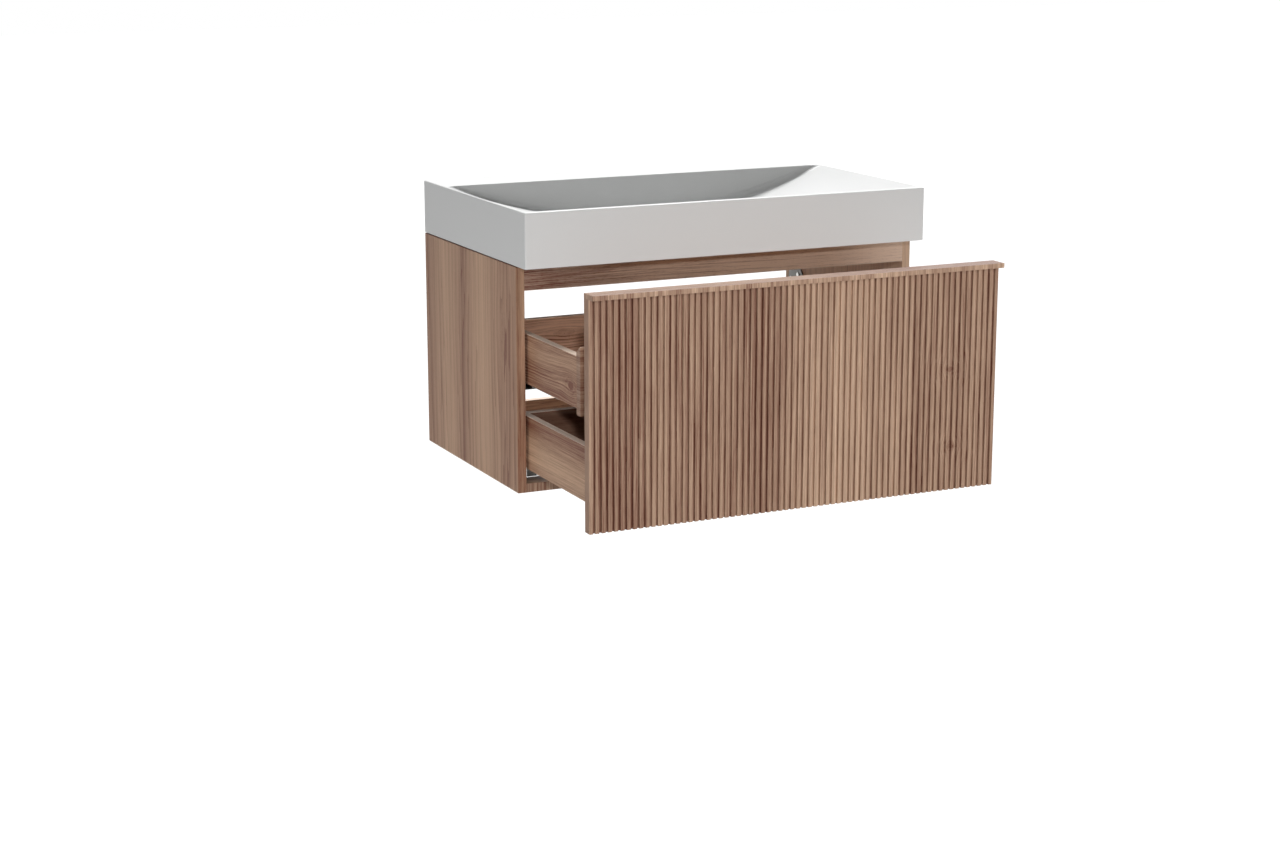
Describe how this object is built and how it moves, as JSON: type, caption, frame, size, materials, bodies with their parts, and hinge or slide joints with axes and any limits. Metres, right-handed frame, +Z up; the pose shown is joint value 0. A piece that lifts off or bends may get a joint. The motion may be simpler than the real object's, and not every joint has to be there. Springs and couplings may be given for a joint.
{
  "type": "floating vanity",
  "caption": "Wall-hung vanity cabinet under a shallow curved basin, with a fluted full-height drawer front that has a finger-pull lip, and a low inner drawer behind it.",
  "frame": {"origin": "centre of the four wall fixing holes, on the wall plane", "axes": "+Y into the wall, so that the drawers open towards -Y; +X to the right as seen from the front; +Z up"},
  "size_m": [0.8, 0.7717, 0.506],
  "materials": {
    "solid_surface": "matt white cast surface",
    "walnut": "satin lacquered walnut veneer",
    "galvanised_steel": "galvanised sheet",
    "zinc_steel": "zinc plated",
    "chrome": "polished",
    "nylon": "moulded grey nylon",
    "clear_plastic": "clear soft plastic",
    "silicone": "cured adhesive",
    "rubber": "black rubber",
    "beech": "bare turned dowel"
  },
  "bodies": {
    "cabinet": {"basin": "solid_surface", "basin_bead": "silicone", "waste_body": "chrome", "waste_seal": "rubber", "waste_nut": "chrome", "side_left": "walnut", "side_right": "walnut", "cabinet_floor": "walnut", "front_rail": "walnut", "back_rail_upper": "walnut", "back_rail_lower": "walnut", "cabinet_dowels": "beech", "hanger_left": "galvanised_steel", "hanger_right": "galvanised_steel", "hanger_hook_left": "galvanised_steel", "hanger_hook_right": "galvanised_steel", "wall_plate_left": "galvanised_steel", "wall_plate_right": "galvanised_steel", "hanger_screws": "zinc_steel", "hanger_adjusters": "zinc_steel", "lower_runner_left": "galvanised_steel", "lower_runner_right": "galvanised_steel", "inner_runner_left": "galvanised_steel", "inner_runner_right": "galvanised_steel", "runner_screws": "zinc_steel", "runner_blocks": "nylon"},
    "plug": {"waste_plug": "chrome"},
    "lower_middle": {"lower_middle_left": "galvanised_steel", "lower_middle_right": "galvanised_steel", "lower_middle_blocks": "nylon"},
    "lower_drawer": {"fluted_front": "walnut", "front_lip": "walnut", "front_buffers": "clear_plastic", "lower_side_left": "walnut", "lower_side_right": "walnut", "lower_back": "walnut", "lower_floor": "walnut", "lower_rail_left": "galvanised_steel", "lower_rail_right": "galvanised_steel", "lower_rail_blocks": "nylon", "lower_clips": "nylon", "lower_dowels": "beech"},
    "inner_middle": {"inner_middle_left": "galvanised_steel", "inner_middle_right": "galvanised_steel", "inner_middle_blocks": "nylon"},
    "inner_drawer": {"inner_front": "walnut", "inner_side_left": "walnut", "inner_side_right": "walnut", "inner_back_left": "walnut", "inner_back_right": "walnut", "recess_wall_left": "walnut", "recess_wall_right": "walnut", "recess_wall_front": "walnut", "inner_floor": "walnut", "inner_rail_left": "galvanised_steel", "inner_rail_right": "galvanised_steel", "inner_rail_blocks": "nylon", "inner_clips": "nylon", "inner_dowels": "beech"}
  },
  "joints": [
    {"name": "lower_drawer_slide", "type": "slide", "parent": "cabinet", "child": "lower_drawer", "axis": [0, -1, 0], "range_m": [-0.282, 0.118]},
    {"name": "lower_middle_slide", "type": "slide", "parent": "cabinet", "child": "lower_middle", "axis": [0, -1, 0], "range_m": [-0.141, 0.059]},
    {"name": "inner_drawer_slide", "type": "slide", "parent": "cabinet", "child": "inner_drawer", "axis": [0, -1, 0], "range_m": [-0.228, 0.0955]},
    {"name": "inner_middle_slide", "type": "slide", "parent": "cabinet", "child": "inner_middle", "axis": [0, -1, 0], "range_m": [-0.114, 0.0478]},
    {"name": "plug_slide", "type": "slide", "parent": "cabinet", "child": "plug", "axis": [0, 0, 1], "range_m": [0, 0.008]}
  ],
  "couplings": [
    {"joint": "lower_middle_slide", "follows": "lower_drawer_slide", "ratio": 0.5},
    {"joint": "inner_drawer_slide", "follows": "lower_drawer_slide", "ratio": 0.80851},
    {"joint": "inner_middle_slide", "follows": "lower_drawer_slide", "ratio": 0.40425}
  ]
}
